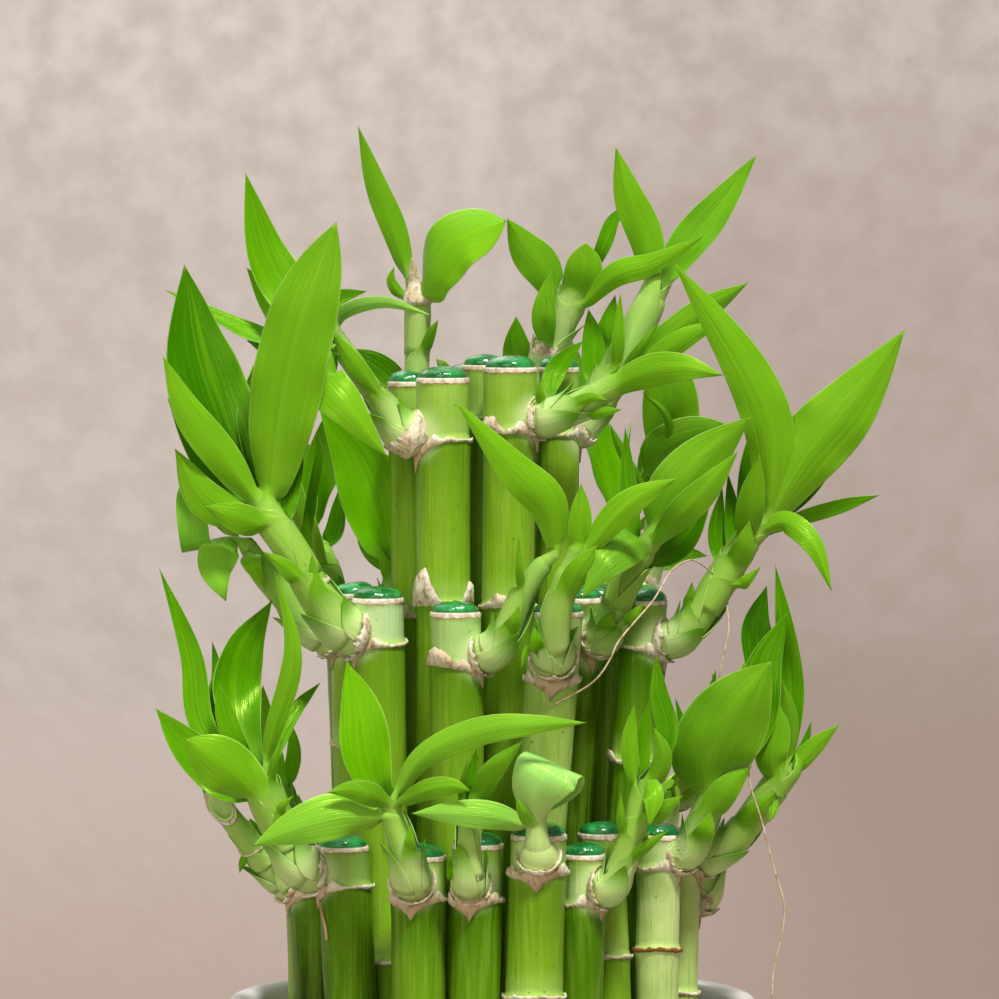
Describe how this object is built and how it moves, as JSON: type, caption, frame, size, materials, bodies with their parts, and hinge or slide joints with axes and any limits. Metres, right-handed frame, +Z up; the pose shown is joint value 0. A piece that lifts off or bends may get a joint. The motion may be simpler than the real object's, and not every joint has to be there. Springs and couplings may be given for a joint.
{
  "type": "potted lucky bamboo",
  "caption": "Lucky bamboo: cut green canes with leafy shoots, in stepped tiers, standing upright in a round white ceramic pot filled with pebbles.",
  "frame": {"origin": "centre of the pot's flat underside", "axes": "+Z up along the canes; the front that the picture shows faces -Y; +X to the right of that front"},
  "size_m": [0.1567, 0.1238, 0.2611],
  "materials": {
    "ceramic": "glossy white glaze",
    "stone": "smooth water-worn pebbles",
    "cane": "smooth green stem with papery rings",
    "shoot": "pale sheathed stem",
    "leaf": "glossy leaf with parallel veins",
    "wax": "shiny green sealing wax",
    "paper": "dry papery sheath and cut rim"
  },
  "bodies": {
    "root": {"pot": "ceramic", "pebbles": "stone", "low_cane_1": "cane", "low_cane_2": "cane", "low_cane_3": "cane", "low_cane_4": "cane", "low_cane_5": "cane", "low_cane_6": "cane", "low_cane_7": "cane", "low_cane_8": "cane", "low_cane_9": "cane", "low_cane_10": "cane", "low_cane_11": "cane", "low_cane_12": "cane", "low_cane_13": "cane", "low_cane_14": "cane", "low_cane_15": "cane", "low_cane_16": "cane", "low_cane_17": "cane", "low_cane_18": "cane", "middle_cane_1": "cane", "middle_cane_2": "cane", "middle_cane_3": "cane", "middle_cane_4": "cane", "middle_cane_5": "cane", "middle_cane_6": "cane", "middle_cane_7": "cane", "middle_cane_8": "cane", "middle_cane_9": "cane", "middle_cane_10": "cane", "middle_cane_11": "cane", "middle_cane_12": "cane", "top_cane_1": "cane", "top_cane_2": "cane", "top_cane_3": "cane", "top_cane_4": "cane", "top_cane_5": "cane", "top_cane_6": "cane", "top_cane_7": "cane"}
  },
  "joints": []
}
